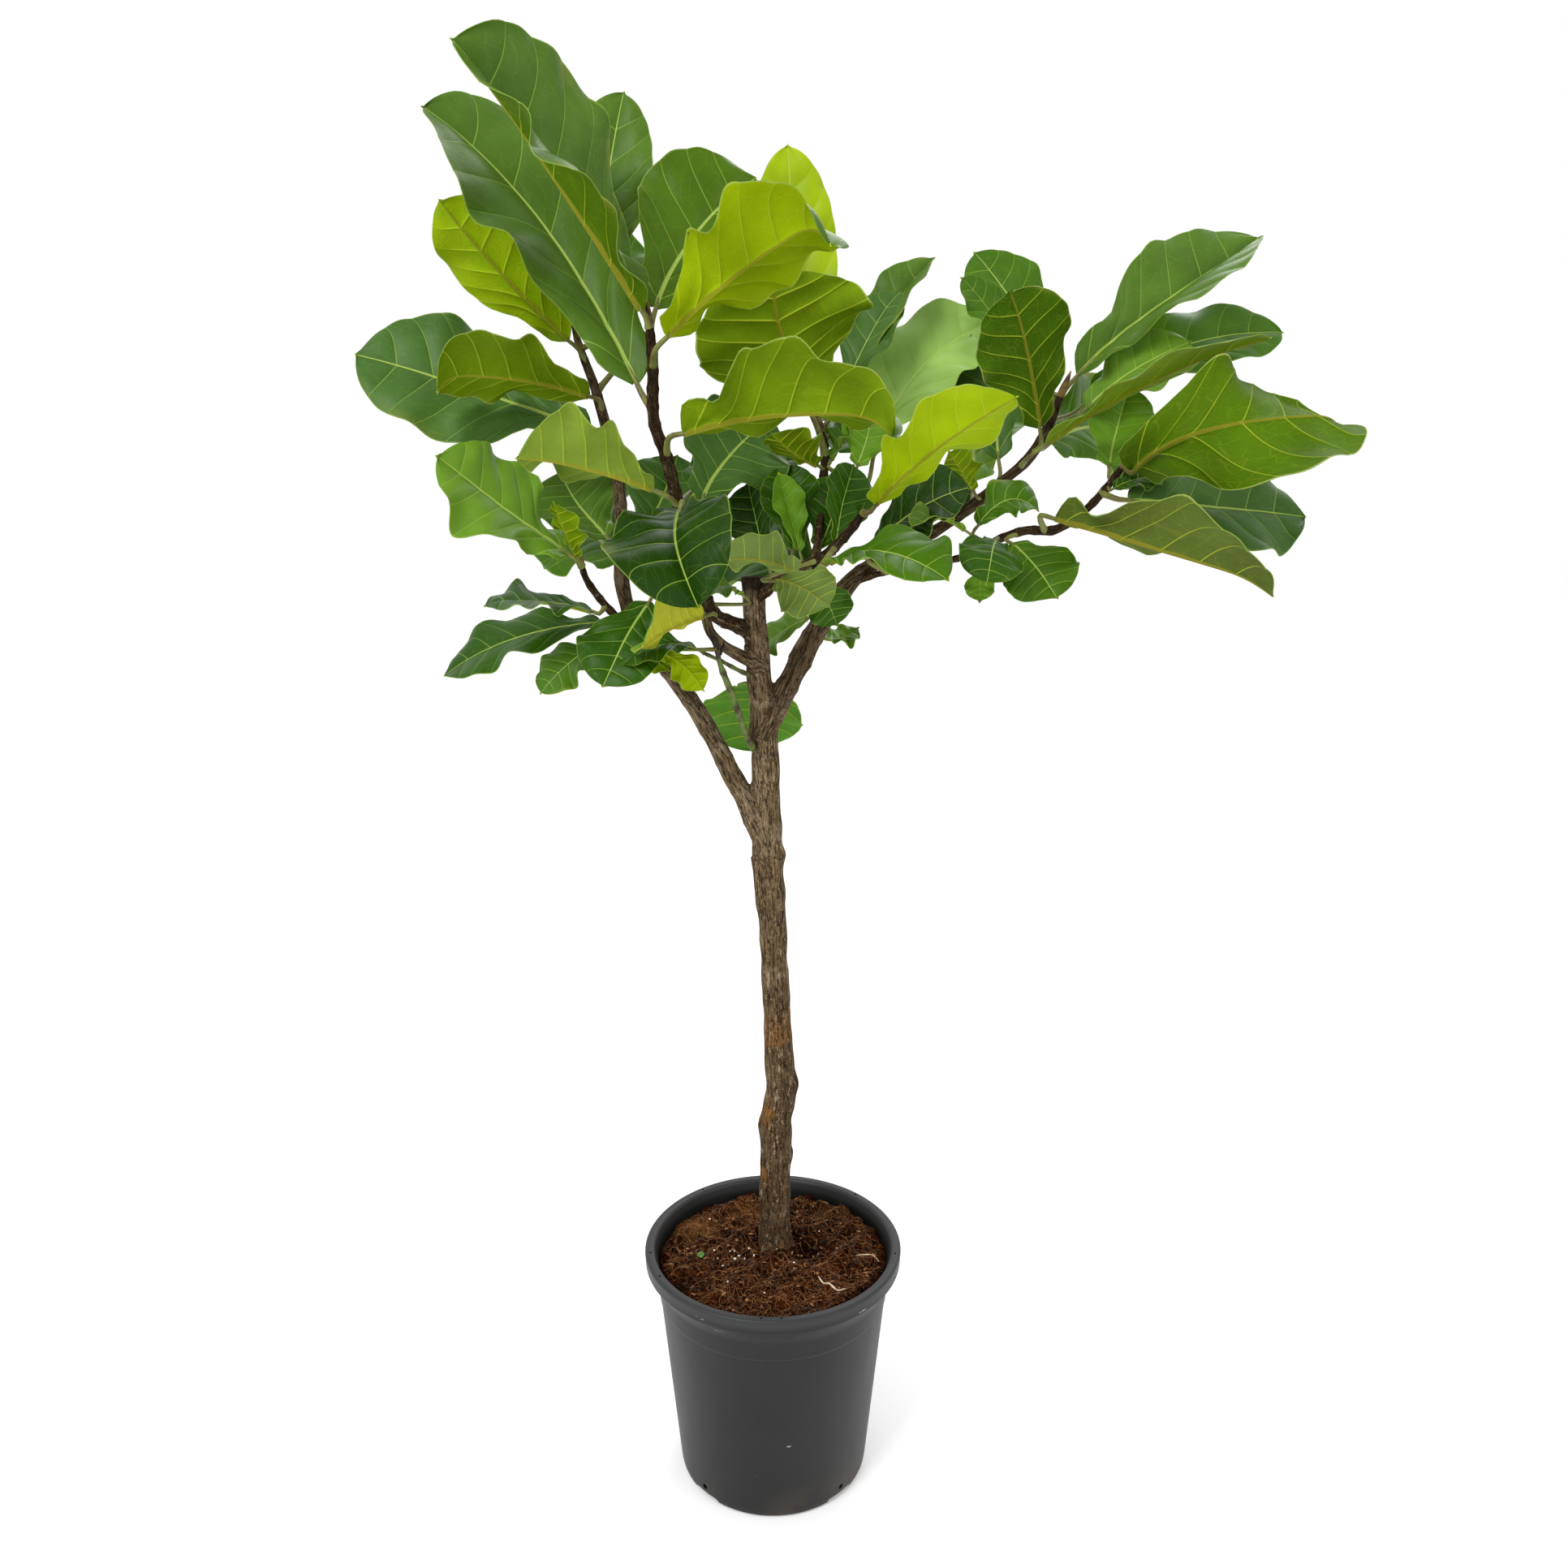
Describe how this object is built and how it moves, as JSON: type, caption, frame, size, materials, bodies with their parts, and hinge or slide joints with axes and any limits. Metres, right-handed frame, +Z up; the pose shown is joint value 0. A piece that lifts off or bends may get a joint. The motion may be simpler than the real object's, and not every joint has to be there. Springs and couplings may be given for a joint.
{
  "type": "potted fiddle leaf fig",
  "caption": "Fiddle leaf fig with a branched woody trunk and a crown of large wavy leaves, standing in a round tapered nursery pot with a rolled rim.",
  "frame": {"origin": "middle of the pot's foot, on the surface that it stands on", "axes": "+Z up along the plant, +X to the viewer's right in the picture, -Y toward the viewer"},
  "size_m": [0.8909, 0.4531, 1.3956],
  "materials": {
    "pot": "moulded anthracite plastic, slightly scuffed",
    "soil": "loose coir and peat mix",
    "bark": "rough grey-brown bark",
    "leaf": "waxy leaf, veined"
  },
  "bodies": {
    "root": {"pot": "pot", "soil": "soil", "trunk": "bark", "left_limb": "bark", "left_shoot": "bark", "right_limb": "bark", "leader_stem": "bark", "centre_stem": "bark", "centre_shoot": "bark", "right_stem": "bark", "leaf_top": "leaf", "leaf_high": "leaf", "leaf_upright": "leaf", "leaf_back_pale": "leaf", "leaf_outer": "leaf", "leaf_olive": "leaf", "leaf_middle": "leaf", "leaf_light": "leaf", "leaf_front": "leaf", "leaf_low_left": "leaf", "leaf_pale": "leaf", "leaf_small": "leaf", "leaf_hanging": "leaf", "leaf_yellow": "leaf", "leaf_behind_trunk": "leaf", "leaf_dark_top": "leaf", "leaf_bright": "leaf", "leaf_lime_behind": "leaf", "leaf_olive_up": "leaf", "leaf_broad": "leaf", "leaf_blue": "leaf", "leaf_curl_up": "leaf", "leaf_narrow": "leaf", "leaf_lime_front": "leaf", "leaf_deep": "leaf", "leaf_low_middle": "leaf", "leaf_slim_left": "leaf", "leaf_slim_right": "leaf", "leaf_light_low": "leaf", "leaf_olive_low": "leaf", "leaf_far_right": "leaf", "leaf_olive_right": "leaf", "leaf_upright_right": "leaf", "leaf_high_right": "leaf", "leaf_back_right": "leaf", "leaf_mid_right": "leaf", "leaf_long_right": "leaf", "leaf_big_right": "leaf", "leaf_inner_right": "leaf", "leaf_dark_right": "leaf", "leaf_front_right": "leaf", "leaf_hang_right": "leaf", "leaf_drop_right": "leaf", "leaf_back_high": "leaf", "leaf_back_middle": "leaf", "leaf_back_centre": "leaf", "leaf_back_tall": "leaf", "leaf_back_far_right": "leaf", "leaf_back_low": "leaf", "leaf_back_left": "leaf"}
  },
  "joints": []
}
